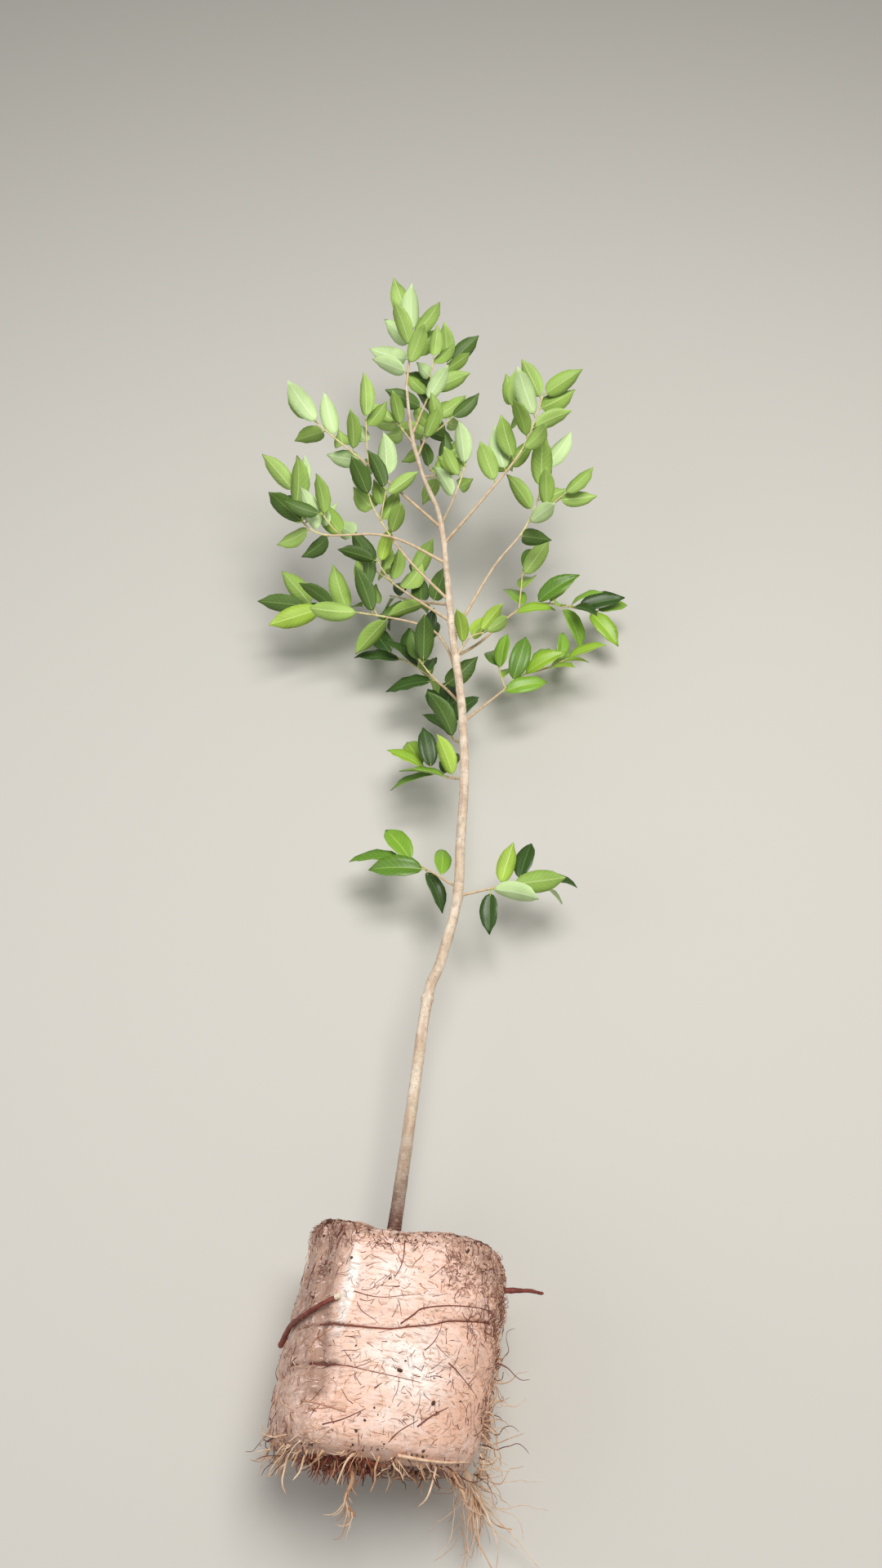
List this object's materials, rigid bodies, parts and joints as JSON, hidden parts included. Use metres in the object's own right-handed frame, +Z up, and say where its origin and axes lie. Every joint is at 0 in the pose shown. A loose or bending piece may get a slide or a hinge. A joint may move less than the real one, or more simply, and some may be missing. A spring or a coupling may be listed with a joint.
{
  "type": "sapling with root ball",
  "caption": "Young broadleaf evergreen tree lying on its side: soft bagged root ball, slender curved trunk and a loose crown of thin boughs with pointed oval leaves.",
  "frame": {"origin": "Middle of the flat patch on which the soft root ball rests, on the ground under the ball's own middle.", "axes": "+Y from the root ball along the trunk to the plant's tip, +Z up, +X to the right for someone at the foot of the bag who looks along the trunk."},
  "size_m": [0.5306, 1.6813, 0.3349],
  "materials": {
    "bagged_soil": "soft non-woven cloth over moist soil, stained by earth",
    "bark": "smooth thin bark with small pores and rings",
    "bough_bark": "smooth young bark, greener towards the tips",
    "leaves": "leathery, glossy above and matt pale green below",
    "woody_root": "dark red-brown, finely wrinkled",
    "fine_roots": "matt, fibrous"
  },
  "bodies": {
    "root": {"root_ball": "bagged_soil", "trunk": "bark", "bough_right_lower": "bough_bark", "bough_left_middle": "bough_bark", "bough_right_middle": "bough_bark", "bough_right_long": "bough_bark", "bough_left_inner": "bough_bark", "bough_left_upper": "bough_bark", "bough_left_long": "bough_bark", "bough_right_upper": "bough_bark", "bough_left_top": "bough_bark", "foliage_left_low_shoot": "leaves", "foliage_right_low_shoot": "leaves", "foliage_left_lower": "leaves", "foliage_right_lower": "leaves", "foliage_under_lower": "leaves", "foliage_under_left": "leaves", "foliage_left_middle": "leaves", "foliage_right_middle": "leaves", "foliage_right_long": "leaves", "foliage_right_bright": "leaves", "foliage_left_inner": "leaves", "foliage_under_middle": "leaves", "foliage_left_upper": "leaves", "foliage_left_long": "leaves", "foliage_right_upper": "leaves", "foliage_right_spur": "leaves", "foliage_left_top": "leaves", "foliage_under_top": "leaves", "foliage_back_upper": "leaves", "foliage_left_spur": "leaves", "foliage_back_top": "leaves", "foliage_leader": "leaves", "root_cut": "woody_root", "root_stub": "woody_root", "root_fringe": "fine_roots", "root_tuft": "fine_roots"}
  },
  "joints": []
}
